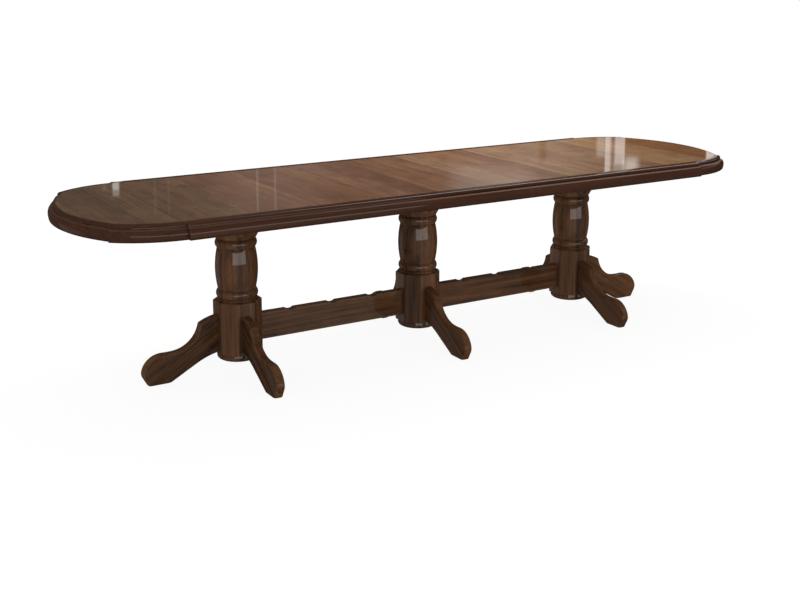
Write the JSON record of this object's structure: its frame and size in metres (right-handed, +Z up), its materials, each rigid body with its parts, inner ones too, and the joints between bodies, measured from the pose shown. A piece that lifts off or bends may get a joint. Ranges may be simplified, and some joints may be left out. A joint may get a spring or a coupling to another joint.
{
  "type": "extending dining table",
  "caption": "Long extending dining table with bowed ends, stepped edge moulding, a drop-in leaf on geared slides, and turned pedestals with scrolled legs joined by stretchers.",
  "frame": {"origin": "on the floor, under the middle of the table top", "axes": "+X along the table, +Y across it towards the back in the picture, +Z up"},
  "size_m": [3.3078, 1, 0.775],
  "materials": {
    "top_wood": "dark walnut stain under gloss lacquer",
    "edge_wood": "dark mahogany stain under gloss lacquer",
    "pedestal_wood": "dark walnut stain under gloss lacquer",
    "slide_wood": "planed hardwood, waxed",
    "dowel_wood": "plain beech",
    "steel": "bright zinc plate",
    "brass": "turned brass",
    "iron": "dark cast iron"
  },
  "bodies": {
    "base": {"bolster_left": "slide_wood", "bolster_middle": "slide_wood", "bolster_right": "slide_wood", "bolster_screws": "steel", "column_left": "pedestal_wood", "column_middle": "pedestal_wood", "column_right": "pedestal_wood", "fixed_rail_back": "slide_wood", "fixed_rail_front": "slide_wood", "hub_left": "pedestal_wood", "hub_middle": "pedestal_wood", "hub_right": "pedestal_wood", "leg_dowels": "dowel_wood", "leg_left_back": "pedestal_wood", "leg_left_end": "pedestal_wood", "leg_left_front": "pedestal_wood", "leg_middle_back": "pedestal_wood", "leg_middle_front": "pedestal_wood", "leg_right_back": "pedestal_wood", "leg_right_end": "pedestal_wood", "leg_right_front": "pedestal_wood", "pinion_axle": "steel", "rail_screws": "steel", "stretcher_left": "pedestal_wood", "stretcher_right": "pedestal_wood"},
    "left_half": {"left_back_corner": "edge_wood", "left_back_moulding": "edge_wood", "left_back_slide": "slide_wood", "left_end_moulding": "edge_wood", "left_front_corner": "edge_wood", "left_front_moulding": "edge_wood", "left_front_slide": "slide_wood", "left_lock_pivots": "steel", "left_panel": "top_wood", "left_pins": "brass", "left_rack": "slide_wood", "left_screws": "steel"},
    "right_half": {"right_back_corner": "edge_wood", "right_back_moulding": "edge_wood", "right_back_slide": "slide_wood", "right_end_moulding": "edge_wood", "right_front_corner": "edge_wood", "right_front_moulding": "edge_wood", "right_front_slide": "slide_wood", "right_lock_pivots": "steel", "right_panel": "top_wood", "right_pins": "brass", "right_rack": "slide_wood", "right_screws": "steel"},
    "leaf": {"leaf_back_moulding": "edge_wood", "leaf_front_moulding": "edge_wood", "leaf_keepers": "steel", "leaf_panel": "top_wood"},
    "pinion": {"pinion": "iron"},
    "left_back_lever": {"left_back_lever": "steel"},
    "left_front_lever": {"left_front_lever": "steel"},
    "right_back_lever": {"right_back_lever": "steel"},
    "right_front_lever": {"right_front_lever": "steel"}
  },
  "joints": [
    {"name": "left_half_slide", "type": "slide", "parent": "base", "child": "left_half", "axis": [-1, 0, 0], "range_m": [0, 0.05]},
    {"name": "right_half_slide", "type": "slide", "parent": "base", "child": "right_half", "axis": [1, 0, 0], "range_m": [0, 0.05]},
    {"name": "pinion_turn", "type": "hinge", "parent": "base", "child": "pinion", "pos_m": [0, 0, 0.7], "axis": [0, 0, 1], "range_deg": [0, 92]},
    {"name": "leaf_lift", "type": "slide", "parent": "base", "child": "leaf", "axis": [0, 0, 1], "range_m": [0, 0.2]},
    {"name": "left_back_lock", "type": "hinge", "parent": "left_half", "child": "left_back_lever", "pos_m": [-0.3053, 0.34, 0.7447], "axis": [0, 0, 1], "range_deg": [0, 90]},
    {"name": "left_front_lock", "type": "hinge", "parent": "left_half", "child": "left_front_lever", "pos_m": [-0.3053, -0.34, 0.7447], "axis": [0, 0, -1], "range_deg": [0, 90]},
    {"name": "right_back_lock", "type": "hinge", "parent": "right_half", "child": "right_back_lever", "pos_m": [0.3053, 0.34, 0.7447], "axis": [0, 0, -1], "range_deg": [0, 90]},
    {"name": "right_front_lock", "type": "hinge", "parent": "right_half", "child": "right_front_lever", "pos_m": [0.3053, -0.34, 0.7447], "axis": [0, 0, 1], "range_deg": [0, 90]}
  ],
  "couplings": [
    {"joint": "right_half_slide", "follows": "left_half_slide", "ratio": 1},
    {"joint": "pinion_turn", "follows": "left_half_slide", "rad_per_m": 31.746}
  ]
}
